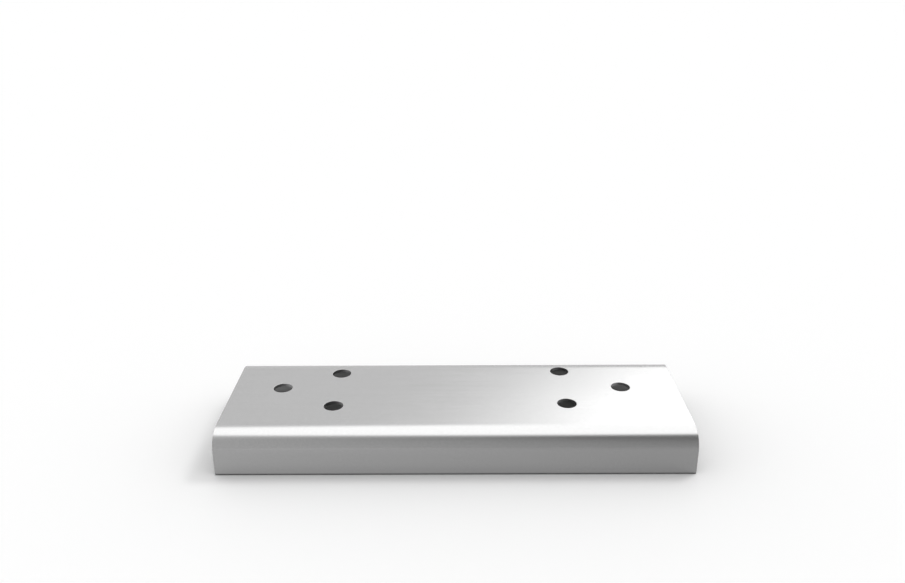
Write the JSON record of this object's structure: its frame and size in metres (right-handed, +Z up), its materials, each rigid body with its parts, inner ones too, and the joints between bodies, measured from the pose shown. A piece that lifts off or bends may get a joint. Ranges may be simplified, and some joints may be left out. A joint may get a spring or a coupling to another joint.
{
  "type": "splice plate",
  "caption": "Shallow channel-shaped splice plate folded from sheet metal, with round bolt holes through its flat web and turned-down flanges with rounded bends.",
  "frame": {"origin": "middle of the rectangle that the lower edges of the flanges stand on", "axes": "+X along the plate, +Y across it from front to rear, +Z up from the flange edges to the web"},
  "size_m": [0.2, 0.07, 0.0185],
  "materials": {
    "plate_metal": "satin rolled stainless steel sheet, neutral grey"
  },
  "bodies": {
    "root": {"splice_plate": "plate_metal"}
  },
  "joints": []
}
